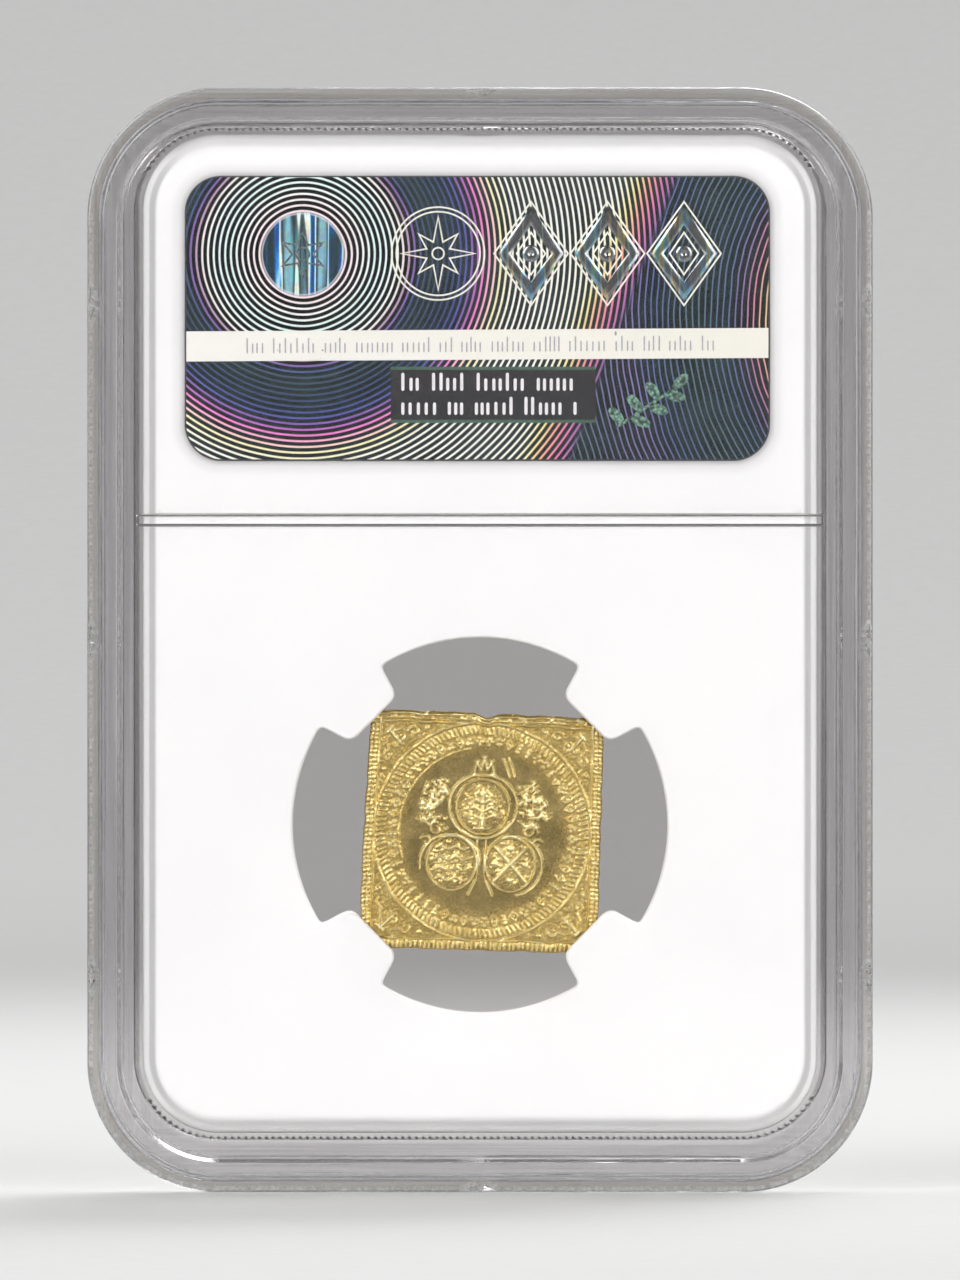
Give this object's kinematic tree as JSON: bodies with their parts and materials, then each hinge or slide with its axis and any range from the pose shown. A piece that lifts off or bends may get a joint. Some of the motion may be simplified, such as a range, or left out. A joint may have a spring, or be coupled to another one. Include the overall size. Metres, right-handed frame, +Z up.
{
  "type": "graded coin slab",
  "caption": "Clear welded coin holder with a white pronged core, a square gold coin held by its corners, a holographic rear label and a paper front label",
  "frame": {"origin": "centre of the bottom edge of the holder, on the surface that it stands on", "axes": "+Z up to the label end, -Y out of the rear face, which shows the holographic label, +X to the right as seen from the rear"},
  "size_m": [0.06, 0.008, 0.0844],
  "materials": {
    "clear_shell": "clear polystyrene, polished windows, moulded edges",
    "white_core": "white moulded plastic, satin",
    "gold": "struck gold with a satin field",
    "label_paper": "smooth label paper",
    "hologram_foil": "dark holographic foil with fine ring lines",
    "cream_strip": "cream printed strip",
    "dark_patch": "dark printed patch",
    "seal_foil": "iridescent foil",
    "emblem_foil": "stamped gold-coloured foil"
  },
  "bodies": {
    "root": {"rear_shell": "clear_shell", "front_shell": "clear_shell", "rear_core": "white_core", "front_core": "white_core", "coin": "gold", "security_label": "label_paper", "hologram_foil_upper": "hologram_foil", "hologram_foil_lower": "hologram_foil", "printed_strip": "cream_strip", "caption_patch": "dark_patch", "seal_disc": "seal_foil", "grade_label": "label_paper", "grade_label_emblem": "emblem_foil"}
  },
  "joints": []
}
